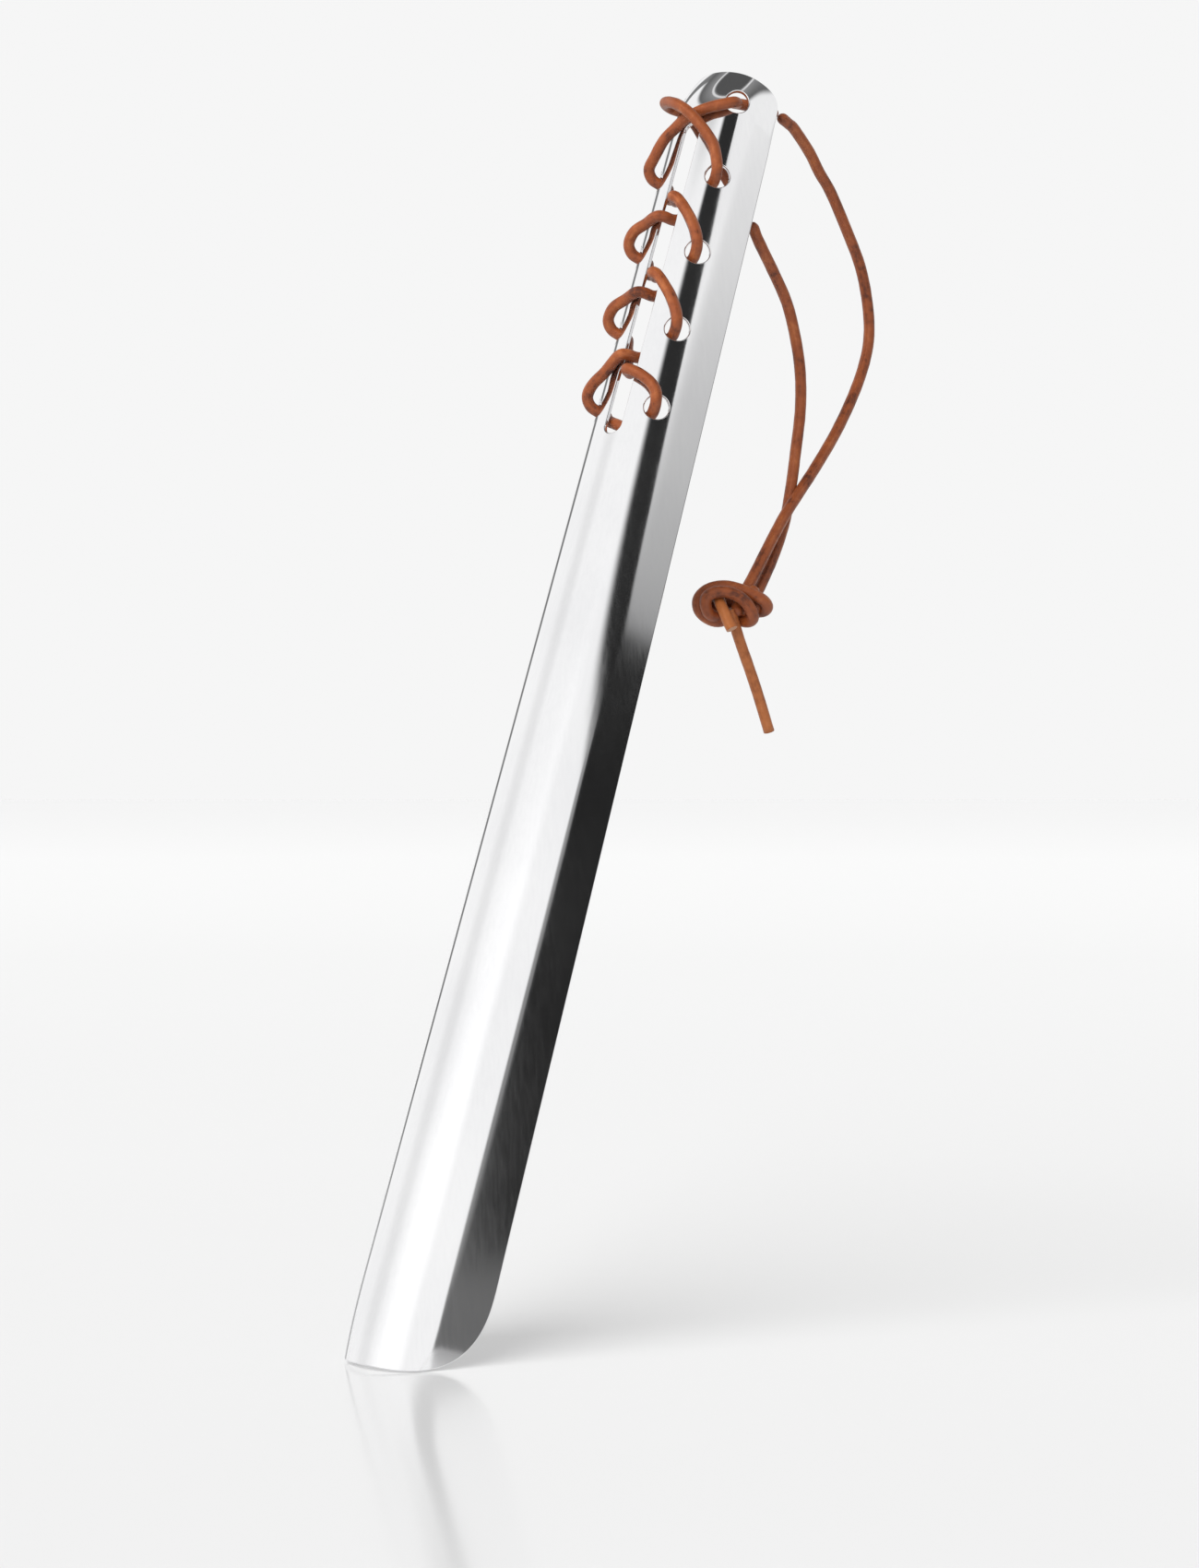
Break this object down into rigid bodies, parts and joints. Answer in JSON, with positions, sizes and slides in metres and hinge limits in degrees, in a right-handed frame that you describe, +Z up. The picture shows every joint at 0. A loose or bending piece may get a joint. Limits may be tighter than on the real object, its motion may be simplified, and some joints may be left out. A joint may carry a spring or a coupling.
{
  "type": "long shoehorn",
  "caption": "Long shoehorn in one rolled sheet of polished steel, with a leather cord laced over its slotted grip and left hanging as a knotted wrist strap",
  "frame": {"origin": "The hand grip: the point on the centre line of the rolled ridge, level with the middle pair of lacing holes", "axes": "+Z up, +X to the right, +Y away from the viewer. The shoehorn is held up, leaning 15 degrees to the right and 15 degrees back, with its tip down"},
  "size_m": [0.1848, 0.1601, 0.4316],
  "materials": {
    "polished_steel": "mirror-polished stainless steel",
    "leather_cord": "round tan leather cord, matte with a soft sheen"
  },
  "bodies": {
    "shoehorn": {"shoehorn_blade": "polished_steel", "lacing_cord": "leather_cord"},
    "strap": {"strap_upper_strand": "leather_cord", "strap_lower_strand": "leather_cord", "strap_knot": "leather_cord", "knot_tail": "leather_cord", "knot_stub": "leather_cord"}
  },
  "joints": [
    {"name": "strap_swing", "type": "hinge", "parent": "shoehorn", "child": "strap", "pos_m": [0.02015, -0.0058, 0.01764], "axis": [0.25, 0.2588, 0.933], "range_deg": [-20, 28]}
  ]
}
